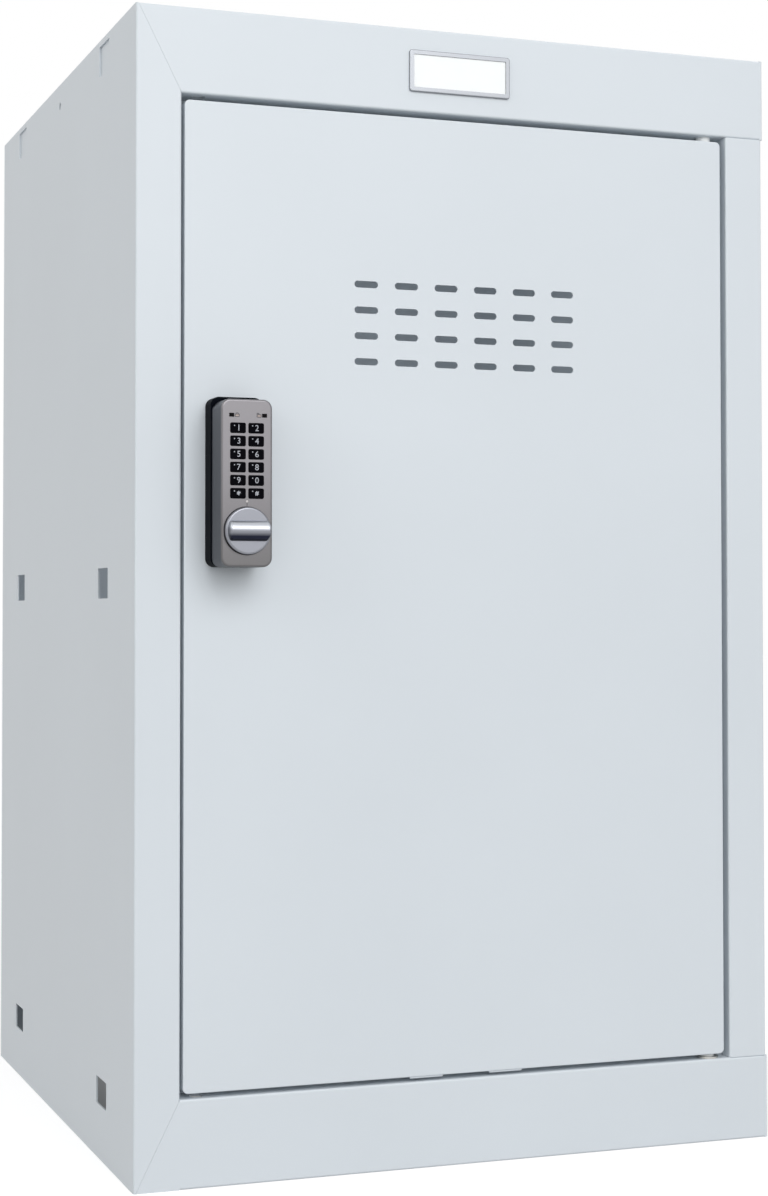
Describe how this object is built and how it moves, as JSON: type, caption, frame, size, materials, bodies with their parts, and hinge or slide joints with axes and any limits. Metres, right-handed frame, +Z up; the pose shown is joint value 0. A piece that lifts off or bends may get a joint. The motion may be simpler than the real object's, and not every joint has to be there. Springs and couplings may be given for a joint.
{
  "type": "locker",
  "caption": "Tall single-door sheet steel locker with air slots, a side-hinged door on pins and a push-button cam lock with a turning knob.",
  "frame": {"origin": "middle of the 400 x 400 mm footprint, on the floor", "axes": "+X to the right seen from the front, +Y from the door to the back, +Z up"},
  "size_m": [0.4, 0.4396, 0.665],
  "materials": {
    "body_paint": "light grey powder coat, smooth satin",
    "badge_metal": "brushed, with a raised rim",
    "badge_blank": "blank white plate",
    "white_nylon": "moulded nylon",
    "zinc_steel": "zinc plated",
    "buffer_rubber": "soft pad",
    "black_plastic": "moulded black",
    "satin_metal": "satin nickel on cast zinc",
    "switch_rubber": "silicone switch mat",
    "circuit_board": "green circuit board",
    "lamp_window": "dark lamp window",
    "battery_sleeve": "plain dark cell sleeve",
    "key_plastic": "black key cap with a white figure",
    "knob_metal": "satin nickel",
    "printed_marks": "pale printed figures and signs"
  },
  "bodies": {
    "cabinet": {"left_side_panel": "body_paint", "right_side_panel": "body_paint", "top_panel": "body_paint", "bottom_panel": "body_paint", "back_panel": "body_paint", "badge_frame": "badge_metal", "badge_insert": "badge_blank", "top_pivot_bush": "white_nylon", "bottom_pivot_bush": "white_nylon", "bottom_pivot_washer": "zinc_steel", "door_buffers": "buffer_rubber"},
    "door": {"door_skin": "body_paint", "door_rib": "body_paint", "top_pivot_bracket": "body_paint", "bottom_pivot_bracket": "body_paint", "top_pivot_pin": "zinc_steel", "bottom_pivot_pin": "zinc_steel", "lock_backing_plate": "zinc_steel", "lock_base": "black_plastic", "lock_case": "satin_metal", "keypad_membrane": "switch_rubber", "keypad_board": "circuit_board", "led_windows": "lamp_window", "battery_tray": "black_plastic", "batteries": "battery_sleeve", "case_screws": "zinc_steel", "lock_barrel": "zinc_steel", "barrel_nut": "zinc_steel", "fixing_bolt": "zinc_steel"},
    "knob": {"knob": "knob_metal", "knob_spindle": "zinc_steel", "lock_cam": "zinc_steel", "cam_screw": "zinc_steel"},
    "key_1": {"key_1": "key_plastic"},
    "key_2": {"key_2": "key_plastic"},
    "key_3": {"key_3": "key_plastic"},
    "key_4": {"key_4": "key_plastic"},
    "key_5": {"key_5": "key_plastic"},
    "key_6": {"key_6": "key_plastic"},
    "key_7": {"key_7": "key_plastic"},
    "key_8": {"key_8": "key_plastic"},
    "key_9": {"key_9": "key_plastic"},
    "key_0": {"key_0": "key_plastic"},
    "key_star": {"key_star": "key_plastic"},
    "key_square": {"key_square": "key_plastic"}
  },
  "joints": [
    {"name": "door_hinge", "type": "hinge", "parent": "cabinet", "child": "door", "pos_m": [0.162, -0.1923, 0.33], "axis": [0, 0, 1], "range_deg": [0, 110]},
    {"name": "knob_turn", "type": "hinge", "parent": "door", "child": "knob", "pos_m": [-0.1441, -0.231, 0.3672], "axis": [0, 1, 0], "range_deg": [0, 90]},
    {"name": "key_1_press", "type": "slide", "parent": "door", "child": "key_1", "axis": [0, 1, 0], "range_m": [0, 0.0008], "stiffness_N_per_m": 500},
    {"name": "key_2_press", "type": "slide", "parent": "door", "child": "key_2", "axis": [0, 1, 0], "range_m": [0, 0.0008], "stiffness_N_per_m": 500},
    {"name": "key_3_press", "type": "slide", "parent": "door", "child": "key_3", "axis": [0, 1, 0], "range_m": [0, 0.0008], "stiffness_N_per_m": 500},
    {"name": "key_4_press", "type": "slide", "parent": "door", "child": "key_4", "axis": [0, 1, 0], "range_m": [0, 0.0008], "stiffness_N_per_m": 500},
    {"name": "key_5_press", "type": "slide", "parent": "door", "child": "key_5", "axis": [0, 1, 0], "range_m": [0, 0.0008], "stiffness_N_per_m": 500},
    {"name": "key_6_press", "type": "slide", "parent": "door", "child": "key_6", "axis": [0, 1, 0], "range_m": [0, 0.0008], "stiffness_N_per_m": 500},
    {"name": "key_7_press", "type": "slide", "parent": "door", "child": "key_7", "axis": [0, 1, 0], "range_m": [0, 0.0008], "stiffness_N_per_m": 500},
    {"name": "key_8_press", "type": "slide", "parent": "door", "child": "key_8", "axis": [0, 1, 0], "range_m": [0, 0.0008], "stiffness_N_per_m": 500},
    {"name": "key_9_press", "type": "slide", "parent": "door", "child": "key_9", "axis": [0, 1, 0], "range_m": [0, 0.0008], "stiffness_N_per_m": 500},
    {"name": "key_0_press", "type": "slide", "parent": "door", "child": "key_0", "axis": [0, 1, 0], "range_m": [0, 0.0008], "stiffness_N_per_m": 500},
    {"name": "key_star_press", "type": "slide", "parent": "door", "child": "key_star", "axis": [0, 1, 0], "range_m": [0, 0.0008], "stiffness_N_per_m": 500},
    {"name": "key_square_press", "type": "slide", "parent": "door", "child": "key_square", "axis": [0, 1, 0], "range_m": [0, 0.0008], "stiffness_N_per_m": 500}
  ]
}
